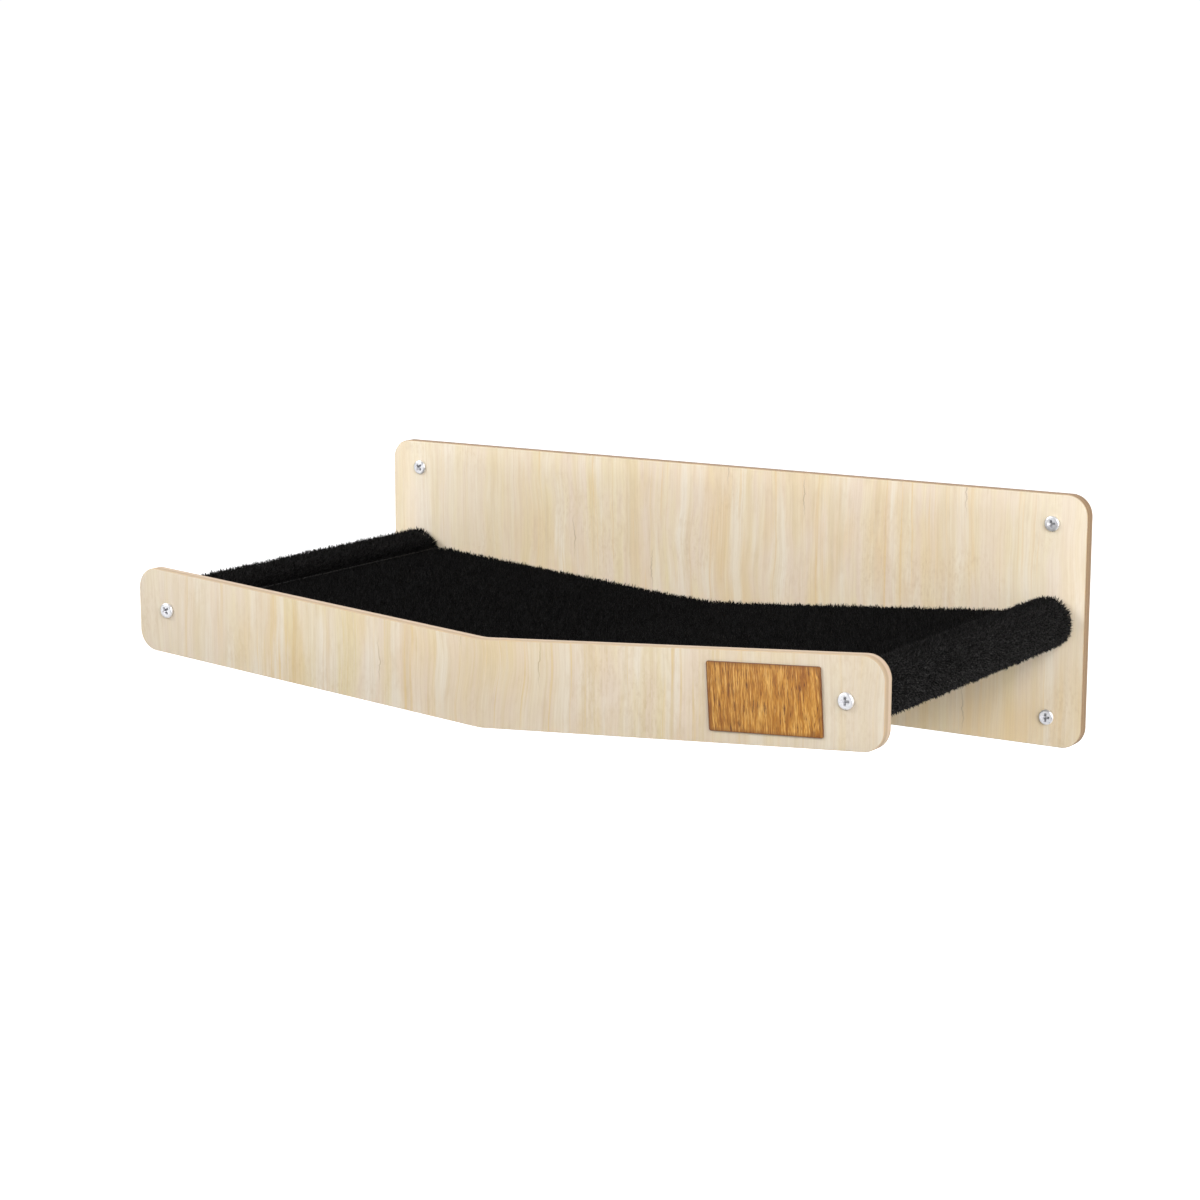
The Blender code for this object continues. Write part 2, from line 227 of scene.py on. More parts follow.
def endTree(tree, geometry, material, smooth=None):
    # without smooth, the copies keep the shading of what they copy
    real = addNode(tree, "GeometryNodeRealizeInstances", {0: geometry})
    if smooth is not None:
        real = addNode(tree, "GeometryNodeSetShadeSmooth", {0: real, "Shade Smooth": smooth})
    coloured = addNode(tree, "GeometryNodeSetMaterial", {0: real, "Material": material})
    tree.links.new(coloured.outputs[0], tree.nodes.new("NodeGroupOutput").inputs[0])


def runTree(thing, tree, values):
    modifier = thing.modifiers.new(tree.name, "NODES")
    modifier.node_group = tree
    for socket in tree.interface.items_tree:
        if socket.in_out == "INPUT" and socket.name in values:
            modifier[socket.identifier] = values[socket.name]


def linkMesh(name, mesh):
    thing = bpy.data.objects.new(name, mesh)
    scene.collection.objects.link(thing)
    return thing


def plainMesh(thing):
    # what the modifiers make becomes the object's own mesh, and they go
    bpy.context.view_layer.update()
    graph = bpy.context.evaluated_depsgraph_get()
    mesh = bpy.data.meshes.new_from_object(thing.evaluated_get(graph))
    thing.modifiers.clear()
    thing.data = mesh
    mesh.name = thing.name


def meshFrom(name, bm):
    bmesh.ops.remove_doubles(bm, verts=bm.verts, dist=1e-6)
    bmesh.ops.recalc_face_normals(bm, faces=bm.faces)
    mesh = bpy.data.meshes.new(name)
    bm.to_mesh(mesh)
    bm.free()
    return mesh


def pointMesh(name, nodes, depth, turns):
    # a loose point at each node's middle, for a tree to put a copy on, turned by the point's own "turn"
    mesh = bpy.data.meshes.new(name)
    mesh.from_pydata([(middle(node).x, depth, middle(node).z) for node in nodes], [], [])
    mesh.attributes.new("turn", "FLOAT", "POINT").data.foreach_set("value", turns)
    return mesh


def cutOut(thing, cutter):
    modifier = thing.modifiers.new("Cut", "BOOLEAN")
    modifier.operation = "DIFFERENCE"
    modifier.object = cutter
    cutter.hide_render = True
    cutter.display_type = "WIRE"


def dress(thing, slot, *nodes):
    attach(thing, body)
    if nodes:
        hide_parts(*nodes)


# Camera and light
studio = {
    "place": (1.01534, -1.73213, .35497),  # fitted to the edges of both boards
    "turn": 32.95,                         # degrees to the left of straight on
    "dip": 10.42,                          # degrees down
    "lens": 80.57,
    "backdrop": 1.04,     # light of the surroundings behind the object
    "front": .05,         # and before it
    "rightShare": .25,    # the surroundings are dimmer to the right and brighter above
    "topShare": 2.0,
    "floorGlow": .85,     # the floor glows behind the object only, to turn white like the backdrop
    "floorBelow": 1.20,
    "floorSide": 50,
    "floorTones": (paint(212, 212, 212), paint(220, 220, 220)),
    "lamps": (            # name, place, size, watts and spread in degrees
        ("Left softbox", (-2.2, -2.2, 1.7), (2.0, 1.6), 23.7, 90),
        ("Right softbox", (2.2, -1.9, 1.5), (2.0, 1.6), 25.4, 90),
        ("Side softbox", (2.9, -1.0, 0), (1.6, 1.2), 7, 90),
        ("Top softbox", (-1.6, -1.0, 2.4), (1.0, .9), 4, 120),
        ("Dim panel", (-1.7, -2.75, -.5), (2.8, 2.4), 14, 180),   # what the screw heads mirror
    ),
    "lampAim": (0, -.15, 0),
}


def makeStudio():
    lens = bpy.data.cameras.new("Camera")
    lens.lens = studio["lens"]
    lens.sensor_width = 36
    lens.clip_end = 60
    camera = bpy.data.objects.new("Camera", lens)
    camera.location = studio["place"]
    camera.rotation_euler = (math.radians(90 - studio["dip"]), 0, math.radians(studio["turn"]))
    scene.collection.objects.link(camera)
    scene.camera = camera

    world = bpy.data.worlds.new("Studio")
    world.use_nodes = True
    tree = world.node_tree
    glow = tree.nodes["Background"]
    glow.inputs["Color"].default_value = (1, 1, 1, 1)
    right, back, up = split(tree, tree.nodes.new("ShaderNodeTexCoord").outputs["Generated"])
    strength = remap(tree, back, 0, .4, studio["front"], studio["backdrop"])
    strength = times(tree, strength, remap(tree, right, -.1, .5, 1, studio["rightShare"]))
    strength = times(tree, strength, remap(tree, up, .1, .7, 1, studio["topShare"]))
    feed(tree, glow.inputs["Strength"], strength)
    scene.world = world
    scene.view_settings.view_transform = "Standard"

    for name, place, size, watts, spread in studio["lamps"]:
        lamp = bpy.data.lights.new(name, "AREA")
        lamp.shape = "RECTANGLE"
        lamp.size, lamp.size_y = size
        lamp.energy = watts
        lamp.spread = math.radians(spread)
        light = bpy.data.objects.new(name, lamp)
        light.location = place
        aim = Vector(studio["lampAim"]) - light.location
        light.rotation_euler = aim.to_track_quat("-Z", "Y").to_euler()
        scene.collection.objects.link(light)

    bm = bmesh.new()
    bmesh.ops.create_grid(bm, x_segments=1, y_segments=1, size=studio["floorSide"] / 2)
    bmesh.ops.translate(bm, verts=bm.verts, vec=(0, 0, cadBox[0][2] - studio["floorBelow"]))
    floor = linkMesh("studio_floor", meshFrom("studio_floor", bm))
    material, tree, shader, place = newMaterial("Floor paint", .9)
    tone = noiseAt(tree, place, (2, 2, 2))
    coat(tree, shader, colourRamp(tree, tone, list(enumerate(studio["floorTones"]))))
    shader.inputs["Emission Color"].default_value = (1, 1, 1, 1)
    glow = remap(tree, split(tree, place)[1], .3, 1.5, 0, studio["floorGlow"])
    feed(tree, shader.inputs["Emission Strength"], glow)
    floor.data.materials.append(material)
    print("studio ready")


# Boards: pale laminate on both faces, with the core showing round the cut edge
boards = {
    "arris": .0004,
    "arrisSteps": 3,
    "cornerStep": 3,        # degrees
    "backRadius": .015,
    "frontRadius": .015,
    "frontHeight": .060,
    "frontDrop": .022,      # the middle of the front board hangs this far below its ends
    "bendRadius": .050,
    "holeRadius": .0028,
    "holeSides": 32,
    "sinkRadius": .0050,    # countersink in the rear face, for a rod's rear screw
    "sinkMouth": .0009,     # straight part of the countersink
    "sinkDepth": .0030,
    "sinkSides": 40,
    "cutterReach": .010,    # how far each hole's cutter stands out of the board
    "screws": {"back": ("wall_screw", "rear_screw"), "front": ("front_screw",)},
    "looks": {              # shift of the laminate's noises, its tone and its painted warm shade low down
        "back": ((2.3, 0, 5.1), .96, .70),
        # the front's lower tone is painted shade: the same laminate, darkened against the stronger light on
        # the front board
        "front": ((41.7, 0, 2.2), .758, 0),
    },
}
laminate = {
    "butter": paint(226, 211, 174),
    "cream": paint(229, 214, 187),
    "blush": paint(227, 210, 191),
    "milk": paint(233, 223, 206),
    "tan": paint(217, 197, 158),
    "gold": paint(224, 196, 144),
    "brown": paint(196, 168, 130),
    "crack": paint(158, 134, 102),
    "line": paint(186, 166, 140),   # where the laminate's skin is cut through at the arris
}
plies = {   # the cut edge from the front face to the rear one: the depth where each ply starts, and its tint
    # painted shade: the back board's plies are darker than the front's, for shade on its cut edge
    "back": (
        (0, paint(137, 109, 79)), (.0026, paint(148, 119, 88)),
        (.0048, paint(129, 102, 74)), (.0068, paint(143, 116, 88)),
    ),
    "front": (
        (0, paint(174, 152, 126)), (.0022, paint(168, 146, 120)),
        (.0046, paint(191, 170, 147)), (.0074, paint(185, 163, 139)),
    ),
}


def laminateMaterial(name, shift, tone, lowWarmShade):
    # noises stretched upright: broad bands, streaks, pinstripes and fibres, then mottles and hairline cracks
    material, tree, shader, place = newMaterial(name, .52)
    x, _, z = split(tree, place)
    slow = minus(tree, noiseAt(tree, place, (9, 9, 7), 2, .5, shift), .5)
    quick = minus(tree, noiseAt(tree, place, (60, 9, 40), 2, .5, shift), .5)
    figured = remap(tree, noiseAt(tree, place, (6, 6, 9), 1, .5, shift), .50, .68, .012, .034)
    sway = calc(tree, "MULTIPLY_ADD", slow, figured, times(tree, quick, .0016))
    grain = calcVector(tree, "ADD", place, join(tree, sway, 0, 0))

    def stripes(across, upright, detail=2, rough=.5, turn=0):
        return noiseAt(tree, grain, (across, 1, upright), detail, rough, (shift[0] + turn, turn, shift[2]))
    colour = colourRamp(tree, stripes(46, 6, 3, .6), [
        (.35, laminate["butter"]), (.46, laminate["cream"]),
        (.55, laminate["blush"]), (.66, laminate["cream"]),
    ])
    for tint, turn, across, upright, start, full, most in (
        ("gold", 71, 17, 5, .50, .66, .55), ("milk", 11, 60, 6, .50, .62, .90),
        ("tan", 23, 95, 6, .52, .66, .60), ("gold", 37, 230, 5, .58, .68, .75),
        ("milk", 43, 330, 8, .58, .70, .45), ("brown", 53, 190, 60, .52, .72, .20),
    ):
        streak = stripes(across, upright, 3, .6, turn)
        colour = overlay(tree, colour, laminate[tint], streak, start, full, 0, most)
    colour = overlay(tree, colour, laminate["tan"], stripes(9, 3, 2, .5, 61), .48, .66, 0, .30)
    # paler toward both ends of the board, and painted warm shade in streaks low down
    colour = overlay(tree, colour, laminate["milk"], calc(tree, "ABSOLUTE", x), .16, .28, 0, .40)
    low = remap(tree, z, -.020, -.070, 0, lowWarmShade)
    warmShade = times(tree, low, remap(tree, stripes(70, 5, 3, .6, 29), .34, .60, .2, 1))
    colour = mixColour(tree, warmShade, colour, laminate["gold"])
    pins = stripes(800, 10, 3, .6, 5)
    colour = overlay(tree, colour, laminate["brown"], pins, .36, .58, .19, 0)
    colour = overlay(tree, colour, laminate["brown"], stripes(1900, 140, 2, .5, 3), .56, .76, 0, .16)
    # greyish mottles, in patches
    patch = remap(tree, stripes(22, 13, 2, .5, 97), .50, .66, 0, .30)
    mottle = remap(tree, stripes(420, 170, 3, .65, 83), .47, .66, 0, 1)
    colour = mixColour(tree, times(tree, patch, mottle), colour, laminate["brown"])
    # a wavy hairline crack in about one of six cells of a coarse grid
    wave = noiseAt(tree, place, (14, 1, 95), 4, .60, shift)
    across = calc(tree, "MULTIPLY_ADD", calc(tree, "MULTIPLY_ADD", wave, .008, x), 15, shift[0])
    column = calc(tree, "FLOOR", across)
    upright = calc(tree, "MULTIPLY_ADD", z, 19, times(tree, column, .37))
    cell = addNode(tree, "ShaderNodeTexWhiteNoise", {
        "Vector": join(tree, column, calc(tree, "FLOOR", upright), 0),
    }, noise_dimensions="2D")
    line = minus(tree, minus(tree, across, column), calc(tree, "MULTIPLY_ADD", cell, .5, .05))
    near = remap(tree, calc(tree, "ABSOLUTE", line), .0020, .0100, 1, 0)
    fromMiddle = calc(tree, "ABSOLUTE", minus(tree, calc(tree, "FRACT", upright), .5))
    ends = remap(tree, fromMiddle, .05, .36, .55, 0)
    shown = times(tree, ends, calc(tree, "GREATER_THAN", cell, .84))
    colour = mixColour(tree, times(tree, near, shown), colour, laminate["crack"])
    coat(tree, shader, grow(tree, colour, tone), pins, .00002, (.58, .48))
    return material


def edgeMaterial(name, layers, front):
    # the cut edge: thin plies parallel to the faces, a little uneven, with a fine speckle
    material, tree, shader, place = newMaterial(name, .72)
    uneven = minus(tree, noiseAt(tree, place, (45, 45, 45), 2, .5), .5)
    depth = calc(tree, "MULTIPLY_ADD", uneven, .0009, minus(tree, split(tree, place)[1], front))
    colour = layers[0][1]
    for start, tint in layers[1:]:
        colour = overlay(tree, colour, tint, depth, start - .0002, start + .0002, 0, 1)
    speckle = noiseAt(tree, place, (900, 900, 900), 3, .6)
    colour = overlay(tree, colour, laminate["brown"], speckle, .35, .62, .24, 0)
    coat(tree, shader, colour, speckle, .00004)
    return material


def lineMaterial():
    material, tree, shader, place = newMaterial("Cut laminate skin", .6)
    tone = noiseAt(tree, place, (160, 40, 160), 2, .5)
    coat(tree, shader, colourRamp(tree, tone, [(.35, laminate["line"]), (.65, laminate["brown"])]))
    return material


def roundedOutline(rounds, step):
    # rounds holds (x, z, radius) for each corner of the outline, in order
    outline = []
    for i, (x, z, radius) in enumerate(rounds):
        corner = Vector((x, z))
        back = (Vector(rounds[i - 1][:2]) - corner).normalized()
        ahead = (Vector(rounds[(i + 1) % len(rounds)][:2]) - corner).normalized()
        half = back.angle(ahead) / 2
        centre = corner + (back + ahead).normalized() * radius / math.sin(half)
        start = corner + back * radius / math.tan(half) - centre
        end = corner + ahead * radius / math.tan(half) - centre
        sweep = -start.angle_signed(end)
        steps = max(2, math.ceil(abs(sweep) / math.radians(step)))
        for k in range(steps + 1):
            turn = sweep * k / steps
            outline.append(centre + Vector((
                start.x * math.cos(turn) - start.y * math.sin(turn),
                start.x * math.sin(turn) + start.y * math.cos(turn),
            )))
    return outline


def flatPlate(name, outline, rear, front, arris, steps):
    bm = bmesh.new()
    face = bm.faces.new([bm.verts.new((point.x, rear, point.y)) for point in outline])
    grown = bmesh.ops.extrude_face_region(bm, geom=[face], use_keep_orig=True)
    moved = [part for part in grown["geom"] if isinstance(part, bmesh.types.BMVert)]
    bmesh.ops.translate(bm, verts=moved, vec=(0, front - rear, 0))
    plate = linkMesh(name, meshFrom(name, bm))
    bevel = plate.modifiers.new("Arris", "BEVEL")
    bevel.width = arris
    bevel.segments = steps
    bevel.limit_method = "ANGLE"
    bevel.angle_limit = math.radians(60)
    return plate


def turnedMesh(name, profile, sides):
    # spins (radius, height) points round Z
    bm = bmesh.new()
    points = [bm.verts.new((radius, 0, height)) for radius, height in profile]
    edges = [bm.edges.new(pair) for pair in zip(points, points[1:])]
    bmesh.ops.spin(bm, geom=points + edges, cent=(0, 0, 0), axis=(0, 0, 1),
                   angle=2 * math.pi, steps=sides, use_merge=True)
    return meshFrom(name, bm)


def cutHoles(board, side, rear, thickness):
    # a straight hole for each wall or front screw, and a countersunk one for each rear screw
    hole, sink, reach = boards["holeRadius"], boards["sinkRadius"], boards["cutterReach"]
    through = -thickness - reach
    profiles = {
        "hole": [(0, reach), (hole, reach), (hole, through), (0, through)],
        "sink": [(0, reach), (sink, reach), (sink, -boards["sinkMouth"]), (hole, -boards["sinkDepth"]),
                 (hole, -2 * reach), (0, -2 * reach)],
    }
    nodes = [node for screw in boards["screws"][side] for node in frame["nodes"] if node.startswith(screw)]
    cutters = []
    for node in nodes:
        kind = "sink" if node.startswith("rear") else "hole"
        cutter = linkMesh(kind, turnedMesh(kind, profiles[kind], boards[kind + "Sides"]))
        cutter.location = (middle(node).x, rear, middle(node).z)
        cutter.rotation_euler = (math.radians(-90), 0, 0)
        cutOut(board, cutter)
        cutters.append(cutter)
    plainMesh(board)
    for cutter in cutters:
        bpy.data.objects.remove(cutter)


# how squarely a plate's face has to look along Y to be one of its two flat ones, or else of the arris
flatFrom = .985
arrisFrom = .18


def smoothRim(plate):
    for face in plate.data.polygons:
        face.use_smooth = abs(face.normal.y) < flatFrom
    plate.data.set_sharp_from_angle(angle=math.radians(40))


def sortFaces(board, skin, edge, line):
    # the laminate goes on the two faces, the core on the rim, and the skin's cut line on the arris
    mesh = board.data
    mesh.materials.clear()
    for material in (skin, edge, line):
        mesh.materials.append(material)
    for face in mesh.polygons:
        facing = abs(face.normal.y)
        face.material_index = 0 if facing > flatFrom else 2 if facing > arrisFrom else 1
    smoothRim(board)


def makeBoard(side, rounds, line):
    low, high = corners(side + "_panel")
    outline = roundedOutline(rounds, boards["cornerStep"])
    board = flatPlate(side + "_board", outline, high.y, low.y, boards["arris"], boards["arrisSteps"])
    cutHoles(board, side, high.y, high.y - low.y)
    skin = laminateMaterial(side.capitalize() + " laminate", *boards["looks"][side])
    sortFaces(board, skin, edgeMaterial(side.capitalize() + " edge", plies[side], low.y), line)
    dress(board, "board", side + "_panel")


def makeBoards():
    line = lineMaterial()
    low, high = corners("back_panel")
    places = ((low.x, high.z), (high.x, high.z), (high.x, low.z), (low.x, low.z))
    makeBoard("back", [(x, z, boards["backRadius"]) for x, z in places], line)

    low, high = corners("front_panel")
    half = boards["frontHeight"] / 2
    drop, radius, bend = boards["frontDrop"], boards["frontRadius"], boards["bendRadius"]
    makeBoard("front", [
        (low.x, half, radius), (0, half - drop, bend), (high.x, half, radius),
        (high.x, -half, radius), (0, -half - drop, bend), (low.x, -half, radius),
    ], line)
    print("boards ready")


# Sling: one strip of plush whose ends turn round the rods and are sewn back under the bed
sling = {
    "backing": .0018,        # knitted backing, without the pile
    "pile": .0032,           # its thickness in the CAD sheet
    "restGap": .0003,        # between the rod and the sleeve, and between the bed and the hem
    "seamRise": .0060,       # the bed's face meets the sleeve this far above the rod's axis
    "bedDrop": .0190,
    "bedRounding": .020,
    "hem": .014,
    "seamInset": .0045,      # the seam through bed and hem, from where the sleeve starts
    "endClearance": .0005,   # from each board
    "step": .0024,
    "acrossStep": .0060,
    "unevenness": .0007,
    "ripples": 26,           # per metre
    "sleeveFluff": {"left": 1.22, "right": .90},   # share of the pile's height on each sleeve
    "seed": 4,
    "threadBelow": .0016,    # the seam's lower thread, under the hem
    "threadInset": .003,     # the seam's ends, from the cut edges
}
tuftLook = {
    "Tufts per square metre": 1.85e6,
    "Tuft width": .00064,
    "Narrowest": .8,         # share of that width
    "Widest": 1.2,
    "Shortest": .95,         # share of the pile's height, for the shortest and the longest tufts
    "Longest": 1.76,
    "Short share": 1.6,      # above 1, more of them are short than long
    "Flyaway": .26,          # added to those whose chance is above the next number
    "Flyaway from": .96,
    "Lean": .17,             # tufts that lie together lean the same way
    "Clumps per metre": 600,
    "Stray": .31,            # and each has a lean of its own
    "Edge lean": .30,        # away from the boards, within reach of the cut edges
    "Edge reach": .0018,
    "Seam press": .55,       # share of the height on the seam
    "Seam half": .0008,      # and up to this far from it
    "Seam reach": .0022,     # from here on they stand at full height
}
stitching = {"Spacing": .0034, "Stitch": .0031, "Thread": .00036, "Dip": .0004}
plushLook = {
    "dark": (.0011, .0010, .0010, 1),
    "light": (.0080, .0076, .0075, 1),
    "inner": (.0380, .0364, .0357, 1),   # painted light: lighter tips on the inner side of each sleeve
    "rim": (.0140, .0134, .0131, 1),     # painted light: tips on top of each sleeve, lighter than on the bed
    "outer": (.0700, .0680, .0665, 1),   # painted light: the lightest tips, on the outer side of each sleeve
    "seam": (.0200, .0190, .0180, 1),    # painted sheen: lighter tufts pressed along the seam
    "thread": (.0062, .0059, .0057, 1),
    "sheen": .01,
}


def plushMaterial(name, cell, seam, inner, outer):
    material, tree, shader, place = newMaterial(name, .60)
    # turned, because the grid of the noise would show on surfaces that lie along it
    speckle = noiseAt(tree, place, (cell, cell, cell), 3, .6, turn=(.7, .5, .9))
    away = calc(tree, "ABSOLUTE", split(tree, place)[0])
    # painted light: the tips grow lighter from the bed out over each sleeve, by their distance from the
    # middle
    paintedSleeveLight = colourRamp(tree, remap(tree, away, .257, .290, 0, 1), [
        (.02, plushLook["light"]), (.07, inner), (.22, inner), (.5, plushLook["rim"]), (1, outer),
    ])
    # painted sheen: a lighter line on the tufts pressed along the seam, broken here and there
    seamSheen = remap(tree, calc(tree, "ABSOLUTE", minus(tree, away, seam)), .0004, .0011, .22, 0)
    broken = remap(tree, noiseAt(tree, place, (9, 34, 9), 2, .5), .42, .58, .1, 1)
    colour = mixColour(tree, remap(tree, speckle, .47, .62, 0, 1), plushLook["dark"], paintedSleeveLight)
    coat(tree, shader, mixColour(tree, times(tree, seamSheen, broken), colour, plushLook["seam"]))
    shader.inputs["Sheen Weight"].default_value = plushLook["sheen"]
    shader.inputs["Sheen Roughness"].default_value = .5
    shader.inputs["Specular IOR Level"].default_value = .10
    return material, tree, shader, place


def knitMaterial(seam):
    # the backing, seen from below: rows of fine loops, without the painted light on the inner and outer sides
    # of the sleeves
    light = plushLook["light"]
    material, tree, shader, place = plushMaterial("Black knit backing", 90, seam, light, light)
    rows = addNode(tree, "ShaderNodeTexWave", {"Vector": place, "Scale": 260, "Distortion": 1.2, "Detail": 1},
                   wave_type="BANDS", bands_direction="Y")
    bumpFrom(tree, shader, rows.outputs["Fac"], .0003)
    return material


def threadMaterial():
    material, tree, shader, place = newMaterial("Sewing thread", .5)
    twist = noiseAt(tree, place, (900, 2600, 900), 2, .5)
    coat(tree, shader, colourRamp(tree, twist, [(.3, plushLook["dark"]), (.6, plushLook["thread"])]))
    return material


def clothTree(material, places):
    tree, given = newTree("Cloth strip", floats(*places))
    radius, seamX, seamZ = given["Sleeve radius"], given["Seam X"], given["Seam Z"]
    rodX, rodZ, rear, front = given["Rod X"], given["Rod Z"], given["Rear Y"], given["Front Y"]

    def angleOf(z):
        return calc(tree, "ARCSINE", calc(tree, "DIVIDE", minus(tree, z, rodZ), radius))
    first = minus(tree, math.pi, angleOf(seamZ))
    last = minus(tree, -math.pi, angleOf(given["Hem Z"]))
    hemStart = plus(tree, seamX, times(tree, minus(tree, first, last), radius))
    long = times(tree, plus(tree, hemStart, given["Hem width"]), 2)
    width = minus(tree, rear, front)
    grid = addNode(tree, "GeometryNodeMeshGrid", {
        "Size X": long, "Size Y": width,
        "Vertices X": calc(tree, "DIVIDE", long, given["Step"]),
        "Vertices Y": calc(tree, "DIVIDE", width, given["Across step"]),
    })
    flatX, flatY, _ = split(tree, tree.nodes.new("GeometryNodeInputPosition"))
    along = calc(tree, "ABSOLUTE", flatX)
    kept = addNode(tree, "GeometryNodeStoreNamedAttribute", {
        "Geometry": grid, "Name": "along", "Value": along,
    }, data_type="FLOAT", domain="POINT")

    # bed: a taut shallow V with a rounded bottom
    def sag(x):
        squares = plus(tree, calc(tree, "POWER", x, 2), calc(tree, "POWER", given["Bed rounding"], 2))
        return calc(tree, "SQRT", squares)
    seamSag = sag(seamX)
    fall = calc(tree, "DIVIDE", given["Bed drop"], minus(tree, seamSag, given["Bed rounding"]))
    bedX = calc(tree, "MINIMUM", along, seamX)
    bedZ = minus(tree, seamZ, times(tree, fall, minus(tree, seamSag, sag(bedX))))
    # sleeve: round the rod
    angle = minus(tree, first, calc(tree, "DIVIDE", minus(tree, along, seamX), radius))
    sleeveX = calc(tree, "MULTIPLY_ADD", calc(tree, "COSINE", angle), radius, rodX)
    sleeveZ = calc(tree, "MULTIPLY_ADD", calc(tree, "SINE", angle), radius, rodZ)
    # hem: back under the bed, along its slope
    past = minus(tree, along, hemStart)
    hemX = minus(tree, seamX, past)
    hemZ = minus(tree, given["Hem Z"], times(tree, fall, past))

    onSleeve = calc(tree, "GREATER_THAN", along, seamX)
    onHem = calc(tree, "GREATER_THAN", along, hemStart)

    def pick(bed, sleeve, hem):
        near = addNode(tree, "GeometryNodeSwitch", {0: onSleeve, 1: bed, 2: sleeve}, input_type="FLOAT")
        return addNode(tree, "GeometryNodeSwitch", {0: onHem, 1: near, 2: hem}, input_type="FLOAT").outputs[0]
    x = times(tree, calc(tree, "SIGN", flatX), pick(bedX, sleeveX, hemX))
    y = plus(tree, flatY, times(tree, plus(tree, rear, front), .5))
    place = join(tree, x, y, pick(bedZ, sleeveZ, hemZ))
    shaped = addNode(tree, "GeometryNodeSetPosition", {0: kept, "Position": place})
    ripple = addNode(tree, "ShaderNodeTexNoise", {"Scale": given["Ripples"], "Detail": 2})
    lift = times(tree, minus(tree, ripple.outputs[0], .5), given["Unevenness"])
    push = grow(tree, tree.nodes.new("GeometryNodeInputNormal").outputs[0], lift)
    endTree(tree, addNode(tree, "GeometryNodeSetPosition", {0: shaped, "Offset": push}), material, True)
    return tree


def tuftObject():
    # one tuft, one unit high and wide: a thin blade, broadest near the top
    bm = bmesh.new()
    ends = [bm.verts.new(place) for place in ((0, 0, 0), (-.5, 0, .62), (.5, .16, .74), (.12, -.2, 1))]
    for i in range(4):
        bm.faces.new(ends[:i] + ends[i + 1:])
    return linkMesh("tuft_one", meshFrom("tuft_one", bm))


def pileTree(material):
    # leaning tufts on one side's part of the cloth between two distances from its middle
    tree, given = newTree("Standing pile", {
        "Tuft": "Object", "Seed": "Int",
        **floats("From", "To", "Side", "Pile height", "Seam at", "Rear Y", "Front Y", *tuftLook),
    })
    seed = given["Seed"]
    along = addNode(tree, "GeometryNodeInputNamedAttribute", {"Name": "along"}, data_type="FLOAT").outputs[0]
    here = tree.nodes.new("GeometryNodeInputPosition").outputs[0]
    x, y, _ = split(tree, here)

    def above(value, limit):
        return calc(tree, "GREATER_THAN", value, limit)
    inside = times(tree, above(along, given["From"]), minus(tree, 1, above(along, given["To"])))
    onSide = above(times(tree, x, given["Side"]), 0)
    roots = addNode(tree, "GeometryNodeDistributePointsOnFaces", {
        0: given["Geometry"], "Selection": times(tree, inside, onSide),
        "Density": given["Tufts per square metre"], "Seed": seed,
    })
    clumps = addNode(tree, "ShaderNodeTexNoise", {
        "Vector": here, "Scale": given["Clumps per metre"], "Detail": 1,
    })
    swirl = calcVector(tree, "SUBTRACT", clumps.outputs[1], (.5, .5, .5))
    loose = addNode(tree, "FunctionNodeRandomValue", {
        0: (-1, -1, -1), "Seed": seed,
    }, data_type="FLOAT_VECTOR")
    # tufts at the two cut ends lean away from the boards
    reach, push = given["Edge reach"], given["Edge lean"]
    rear = remap(tree, minus(tree, given["Rear Y"], y), 0, reach, times(tree, push, -1), 0)
    front = remap(tree, minus(tree, y, given["Front Y"]), 0, reach, push, 0)
    away = calcVector(tree, "ADD", roots.outputs["Normal"], join(tree, 0, plus(tree, rear, front), 0))
    lean = calcVector(tree, "ADD", grow(tree, swirl, times(tree, given["Lean"], 2)),
                      grow(tree, loose.outputs[0], given["Stray"]))
    turn = addNode(tree, "FunctionNodeAlignRotationToVector", {
        "Vector": calcVector(tree, "ADD", away, lean),
    }, axis="Z")

    def chance(most, step):
        return addNode(tree, "FunctionNodeRandomValue", {
            3: most, "Seed": plus(tree, seed, step),
        }, data_type="FLOAT").outputs[1]
    fullTurn = 6.283
    spin = addNode(tree, "FunctionNodeAxisAngleToRotation", {"Axis": (0, 0, 1), "Angle": chance(fullTurn, 1)})
    spun = addNode(tree, "FunctionNodeRotateRotation", {0: turn, 1: spin}, rotation_space="LOCAL")
    luck = chance(1, 2)
    rank = calc(tree, "POWER", luck, given["Short share"])
    share = remap(tree, rank, 0, 1, given["Shortest"], given["Longest"])
    share = calc(tree, "MULTIPLY_ADD", above(luck, given["Flyaway from"]), given["Flyaway"], share)
    toSeam = calc(tree, "ABSOLUTE", minus(tree, along, given["Seam at"]))
    pressed = remap(tree, toSeam, given["Seam half"], given["Seam reach"], given["Seam press"], 1)
    tall = times(tree, share, times(tree, given["Pile height"], pressed))
    wide = times(tree, given["Tuft width"], remap(tree, luck, 0, 1, given["Narrowest"], given["Widest"]))
    tuft = addNode(tree, "GeometryNodeObjectInfo", {"Object": given["Tuft"]}).outputs["Geometry"]
    copies = addNode(tree, "GeometryNodeInstanceOnPoints", {
        0: roots, "Instance": tuft, "Rotation": spun, "Scale": join(tree, wide, wide, tall),
    })
    endTree(tree, copies, material, False)
    return tree


